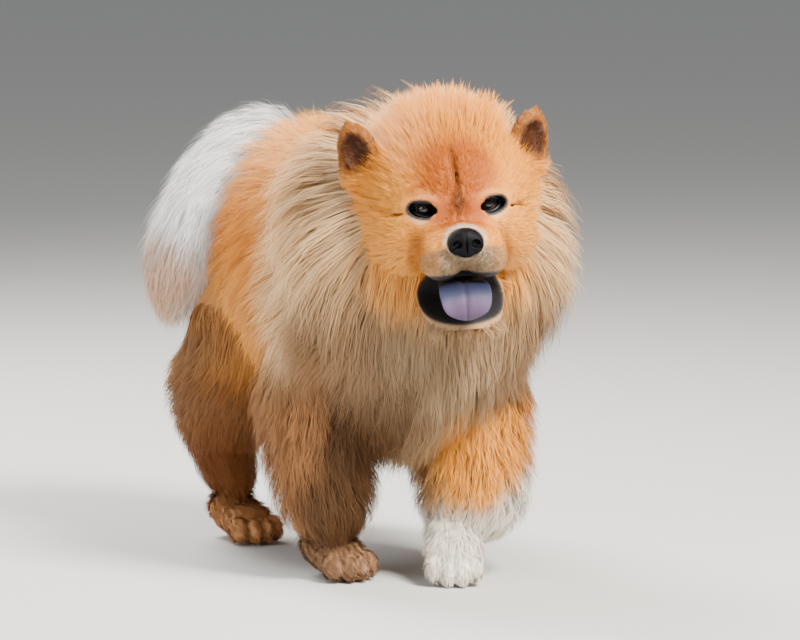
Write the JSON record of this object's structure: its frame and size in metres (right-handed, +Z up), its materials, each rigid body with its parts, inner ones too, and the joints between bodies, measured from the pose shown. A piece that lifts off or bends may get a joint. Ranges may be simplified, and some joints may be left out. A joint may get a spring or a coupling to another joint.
{
  "type": "chow chow",
  "caption": "Walking chow chow as a still, life-size model, with a thick ruff, a curled tail and its tongue out.",
  "frame": {"origin": "centre of the dog's bounding box at floor level", "axes": "the dog faces -Y, its left side is +X, +Z up"},
  "size_m": [0.3884, 0.7663, 0.5995],
  "materials": {
    "red_coat": "dense red coat hair",
    "cream_coat": "dense cream coat hair",
    "white_coat": "long white coat hair",
    "nose_leather": "moist black skin",
    "tongue_skin": "wet blue-purple skin",
    "eye_gloss": "clear gloss over dark brown"
  },
  "bodies": {
    "root": {"head": "red_coat", "torso": "red_coat", "neck": "cream_coat", "tail": "white_coat", "lower_jaw": "cream_coat", "tongue": "tongue_skin", "nose": "nose_leather", "eye_left": "eye_gloss", "eye_right": "eye_gloss", "ear_left": "red_coat", "ear_right": "red_coat", "foreleg_left": "red_coat", "foreleg_right": "red_coat", "hindleg_left": "red_coat", "hindleg_right": "red_coat", "paw_front_left": "cream_coat", "paw_front_right": "cream_coat", "paw_hind_left": "cream_coat", "paw_hind_right": "cream_coat"}
  },
  "joints": []
}
